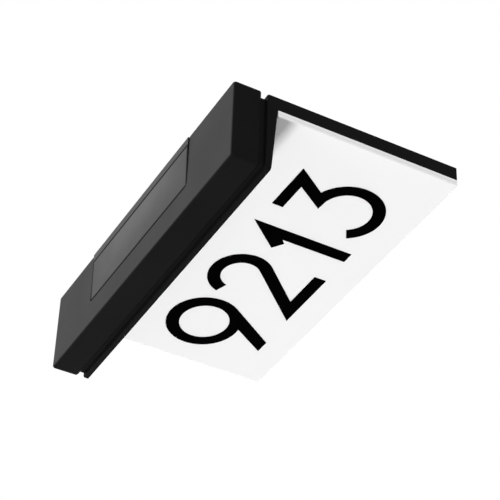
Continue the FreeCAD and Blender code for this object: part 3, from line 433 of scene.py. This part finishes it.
three_bowl = (260.4, 60.1)
three_outer = (34.4, 33.0)
three_inner = (23.2, 22.0)
three_bar = [(240.8, 119.0), (291.9, 118.6)]
three_nook = [(253.6, 82.6), (271.2, 108.6), (240.6, 108.8)]
cut_numeral("numeral_three", [three_bar + arc(three_bowl, three_outer, start=69, end=-147.3)
                              + arc(three_bowl, three_inner, start=-146.5, end=90)
                              + three_nook], ink)


# Rubber seals: the band in the shadow gap and those under the panel, the lens, the door and the
# button. Each is a black foamed rubber, cut or moulded to shape and squeezed when screwed down.

rubber = mottled("seal_rubber", dark=(0.004, 0.004, 0.004), pale=(0.008, 0.008, 0.008),
                 patch_scale=120, rough=(0.75, 0.9), rough_scale=80, grain_scale=1400,
                 grain_depth=0.03 * MM, specular=0.2)
for name in ("housing_gasket", "solar_gasket", "lens_gasket", "door_gasket", "button_seal"):
    dress(name, rubber)


# Upper housing: one black moulded cover with the frame's grain, screwed on from below. Its top
# holds a thin dust and a painted sheen where light falls on it, so that it looks greyer than the
# sides.

housing_black = black_moulding("housing_black", dark=(0.006, 0.006, 0.0062),
                               pale=(0.0078, 0.0078, 0.008), rough=0.34, grain_scale=1500,
                               grain_depth=0.04 * MM, specular=0.015, dust_and_sheen_amount=1.0)
dress("upper_housing", housing_black)


# Solar panel: a moulded wedge tray with a laminated cover, glued in. The cover is smoked, with a
# black border painted round its edge as the shade of the seam, and a painted sheen that pales it
# towards the raised strip behind it and towards its middle. The cells are dark silicon with thin
# silver fingers.

# The tray's top gets the same dust and painted sheen as the housing's.
tray_black = black_moulding("tray_black", dark=(0.004, 0.004, 0.0042),
                            pale=(0.006, 0.006, 0.0062), rough=0.32, grain_scale=1500,
                            grain_depth=0.04 * MM, specular=0.09, dust_and_sheen_amount=1.0)
dress("solar_frame", tray_black)

cover_low, cover_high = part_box("solar_glass")
SEAM_SHADE = 1.4 * MM                  # width of the black border, painted as the shade of the seam
SEAM_SHADE_BLUR = 0.42 * MM
SEAM_SHADE_BLACK = (0.002, 0.002, 0.002)
SEAM_SHADE_ROUGH = 0.95
SHEEN_END = 1.15                    # where the painted sheen ends, as a share of half the width
SHEEN_FULL = 0.2

cover, nodes, link, shader = new_material("panel_cover")
half_width = (cover_high[0] - cover_low[0]) / 2
half_reach = (cover_high[1] - cover_low[1]) / 2
across = offset_from(nodes, link, "X", (cover_low[0] + cover_high[0]) / 2)
back = offset_from(nodes, link, "Y", (cover_low[1] + cover_high[1]) / 2)
across_size = combine(nodes, link, "ABSOLUTE", across)
back_size = combine(nodes, link, "ABSOLUTE", back)
side_seam_shade = fade(nodes, link, across_size, start=half_width - SEAM_SHADE - SEAM_SHADE_BLUR,
                 end=half_width - SEAM_SHADE)
long_seam_shade = fade(nodes, link, back_size, start=half_reach - SEAM_SHADE - SEAM_SHADE_BLUR,
                 end=half_reach - SEAM_SHADE)
# Painted shade: a black border round the cover's edge stands in for the shade in the seam around
# it.
seam_shade = combine(nodes, link, "MAXIMUM", side_seam_shade, long_seam_shade)
# Painted sheen: the cover is paler towards the back and the middle, where a reflection would
# lighten it.
painted_sheen = combine(nodes, link, "MULTIPLY",
               fade(nodes, link, back, start=-half_reach, end=half_reach),
               fade(nodes, link, across_size, start=SHEEN_END * half_width,
                    end=SHEEN_FULL * half_width))
sheened_cover = ramp(nodes, link, painted_sheen, low=(0.006, 0.006, 0.0065), high=(0.06, 0.06, 0.061),
             start=0, end=1)
link(mix_colours(nodes, link, seam_shade, under=sheened_cover, over=SEAM_SHADE_BLACK),
     shader.inputs["Base Color"])
dulled = nodes.new("ShaderNodeMix")
dulled.inputs["B"].default_value = SEAM_SHADE_ROUGH
link(seam_shade, dulled.inputs["Factor"])
link(spread(nodes, link, noise(nodes, link, scale=50), low=0.3, high=0.36), dulled.inputs["A"])
link(dulled.outputs["Result"], shader.inputs["Roughness"])
shader.inputs["Specular IOR Level"].default_value = 0.2
bump(nodes, link, shader, noise(nodes, link, scale=700), depth=0.01 * MM)
dress("solar_glass", cover)

silicon, nodes, link, shader = new_material("silicon_cell")
fingers = nodes.new("ShaderNodeTexWave")
fingers.inputs["Scale"].default_value = 80
link(place_in_metres(nodes), fingers.inputs["Vector"])
link(ramp(nodes, link, fingers.outputs["Fac"], low=(0.01, 0.014, 0.035), high=(0.3, 0.3, 0.32),
          start=0.9, end=1), shader.inputs["Base Color"])
shader.inputs["Roughness"].default_value = 0.25
dress("solar_cells", silicon)


# Downlight: a frosted polycarbonate strip, flush in the underside, over a white board with a
# row of phosphor packages. The board is screwed on across the slot.

frosted = mottled("frosted_strip", dark=(0.78, 0.8, 0.8), pale=(0.85, 0.86, 0.86),
                  patch_scale=300, rough=(0.5, 0.62), rough_scale=200, grain_scale=2200,
                  grain_depth=0.03 * MM)
dress("light_lens", frosted)

board_white = mottled("board_white", dark=(0.7, 0.7, 0.68), pale=(0.78, 0.78, 0.76),
                      patch_scale=200, rough=0.4)
dress("light_board", board_white)

phosphor = mottled("phosphor", dark=(0.75, 0.62, 0.18), pale=(0.82, 0.7, 0.25),
                   patch_scale=900, rough=0.5)
dress("light_sources", phosphor)


# Battery bay: a black moulded cradle with two ears, screwed to the ledge. It holds two cells in
# plain plastic sleeves between pressed, nickel-plated contact strips.

plain_black = black_moulding("plain_black", dark=(0.012, 0.012, 0.012),
                             pale=(0.018, 0.018, 0.018), rough=0.4, grain_scale=1200,
                             grain_depth=0.02 * MM, specular=0.3, dust_and_sheen_amount=0.0)
dress("battery_holder", plain_black)

sleeve = mottled("cell_sleeve", dark=(0.02, 0.1, 0.3), pale=(0.03, 0.13, 0.36), patch_scale=60,
                 rough=0.3)
dress("battery_cells", sleeve)

nickel = mottled("nickel_strip", dark=(0.6, 0.58, 0.52), pale=(0.68, 0.66, 0.6),
                 patch_scale=400, rough=(0.25, 0.4), rough_scale=250, metallic=1.0)
dress("battery_contacts", nickel)


# Charge controller: a green glass-fibre board with black packages, screwed on four posts. Flat
# black leads run from its plugs to the panel, the battery and the light board.

board_green = mottled("board_green", dark=(0.01, 0.1, 0.04), pale=(0.015, 0.14, 0.06),
                      patch_scale=150, rough=0.35)
dress("control_board", board_green)
dress("board_parts", plain_black)
dress("tact_switch", plain_black)
dress("leads", rubber)


# Push button: a grey moulded cap with a soft coating, flush in the underside. A thin silicone
# wall round its stem pushes it out again.

button_grey = mottled("button_grey", dark=(0.05, 0.05, 0.052), pale=(0.07, 0.07, 0.072),
                      patch_scale=300, rough=(0.6, 0.72), rough_scale=200, grain_scale=1800,
                      grain_depth=0.03 * MM)
dress("push_button", button_grey)

silicone = mottled("clear_silicone", dark=(0.6, 0.6, 0.58), pale=(0.7, 0.7, 0.68),
                   patch_scale=300, rough=0.5)

wall_low, wall_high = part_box("return_dome")
WALL_THICK = 0.6 * MM
WALL_SIDES = 48
SHARP_TURN = 40                    # degrees, over which an edge stays sharp

outer_radius = (wall_high[0] - wall_low[0]) / 2
inner_radius = outer_radius - WALL_THICK
wall_middle = ((wall_low[0] + wall_high[0]) / 2, (wall_low[1] + wall_high[1]) / 2)
wall_shape = bmesh.new()
rings = []
for radius, height in ((outer_radius, wall_low[2]), (outer_radius, wall_high[2]),
                       (inner_radius, wall_high[2]), (inner_radius, wall_low[2])):
    ring = []
    for step in range(WALL_SIDES):
        turn = math.tau * step / WALL_SIDES
        ring.append(wall_shape.verts.new((wall_middle[0] + radius * math.cos(turn),
                                          wall_middle[1] + radius * math.sin(turn), height)))
    rings.append(ring)
for lower, upper in zip(rings, rings[1:] + rings[:1]):
    for step in range(WALL_SIDES):
        beside = (step + 1) % WALL_SIDES
        side = wall_shape.faces.new((lower[step], lower[beside], upper[beside], upper[step]))
        side.smooth = True
bmesh.ops.recalc_face_normals(wall_shape, faces=wall_shape.faces[:])
wall_mesh = bpy.data.meshes.new("silicone_wall")
wall_shape.to_mesh(wall_mesh)
wall_shape.free()
wall_mesh.materials.append(silicone)
wall_mesh.set_sharp_from_angle(angle=math.radians(SHARP_TURN))
silicone_wall = add_object("silicone_wall", wall_mesh)
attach(silicone_wall, "sign")
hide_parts("return_dome")
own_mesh(silicone_wall)


# Screws: zinc-plated steel, cold headed and rolled. Those driven from below have pan heads with
# a driver recess, and the small ones inside have hexagon heads.

plated = mottled("plated_screw", dark=(0.4, 0.41, 0.42), pale=(0.55, 0.56, 0.57),
                 patch_scale=500, rough=(0.28, 0.42), rough_scale=300, grain_scale=1500,
                 grain_depth=0.01 * MM, metallic=1.0)
for name in ("housing_screws", "door_screws", "ledge_screws", "control_screws", "lock_screws"):
    dress(name, plated)


# Stage: a plain white floor well below the hanging sign, in an even white studio. Softboxes
# light it all round, and the one in front is small, so that the ledge casts a clear shadow.

FLOOR_DROP = 1.3
FLOOR_HALF = 6.0
WHITE = (1, 1, 1, 1)


def white_when_seen(nodes, link, lit, white, surface):
    """Plain white to the camera and in gloss and glass, and as it is lit to all other light."""
    path = nodes.new("ShaderNodeLightPath").outputs
    mirrored = combine(nodes, link, "MAXIMUM", path["Is Camera Ray"], path["Is Glossy Ray"])
    choice = nodes.new("ShaderNodeMixShader")
    link(combine(nodes, link, "MAXIMUM", mirrored, path["Is Transmission Ray"]),
         choice.inputs["Fac"])
    link(lit, choice.inputs[1])
    link(white, choice.inputs[2])
    link(choice.outputs["Shader"], surface)


floor_mesh = bpy.data.meshes.new("floor")
floor_corners = [(FLOOR_HALF * x, FLOOR_HALF * y, -FLOOR_DROP)
                 for x, y in ((-1, -1), (1, -1), (1, 1), (-1, 1))]
floor_mesh.from_pydata(floor_corners, [], [(0, 1, 2, 3)])
floor = add_object("floor", floor_mesh)

floor_white, nodes, link, shader = new_material("floor_white")
shader.inputs["Base Color"].default_value = (0.6, 0.6, 0.6, 1)
shader.inputs["Roughness"].default_value = 0.8
glow = nodes.new("ShaderNodeEmission")
glow.inputs["Color"].default_value = WHITE
white_when_seen(nodes, link, shader.outputs["BSDF"], glow.outputs["Emission"],
                nodes["Material Output"].inputs["Surface"])
floor_mesh.materials.append(floor_white)

world = bpy.data.worlds.new("studio")
bpy.context.scene.world = world
world.use_nodes = True
nodes = world.node_tree.nodes
link = world.node_tree.links.new
soft = nodes["Background"]
soft.inputs["Color"].default_value = WHITE
soft.inputs["Strength"].default_value = 0.2
backdrop = nodes.new("ShaderNodeBackground")
backdrop.inputs["Color"].default_value = WHITE
backdrop.inputs["Strength"].default_value = 1.0
white_when_seen(nodes, link, soft.outputs["Background"], backdrop.outputs["Background"],
                nodes["World Output"].inputs["Surface"])


def softbox(name, place, side, watts):
    """A square lamp that faces the sign."""
    light = bpy.data.lights.new(name, "AREA")
    light.size = side
    light.energy = watts
    lamp = add_object(name, light)
    lamp.location = place
    lamp.rotation_euler = (-Vector(place)).to_track_quat("-Z", "Y").to_euler()


softbox("front_softbox", place=(-0.5, -2.3, 0.9), side=0.4, watts=42)
softbox("top_softbox", place=(0.3, -0.3, 2.4), side=1.8, watts=29)
softbox("right_softbox", place=(2.35, -0.55, 0.3), side=1.2, watts=26)
softbox("left_softbox", place=(-2.4, 0.1, 0.3), side=1.2, watts=20)
softbox("rear_softbox", place=(0.9, 2.2, 0.5), side=1.6, watts=8)


# Camera: a long lens in front of the sign, above it and to its right. It is turned on its side,
# so that the sign's top lies at the left of the picture.

CAMERA_PLACE = (1.0641, -0.9353, 0.5708)
RIGHT = Vector((0.47875, 0.0285, -0.87749))
DOWN = Vector((-0.52507, -0.79173, -0.31219))
AHEAD = Vector((-0.70364, 0.6102, -0.36408))

lens = bpy.data.cameras.new("camera")
lens.lens = 126.7
lens.sensor_width = 36
camera = add_object("camera", lens)
axes = Matrix((RIGHT, -DOWN, -AHEAD)).transposed().to_4x4()
camera.matrix_world = Matrix.Translation(CAMERA_PLACE) @ axes
bpy.context.scene.camera = camera
bpy.context.scene.view_settings.view_transform = "Standard"
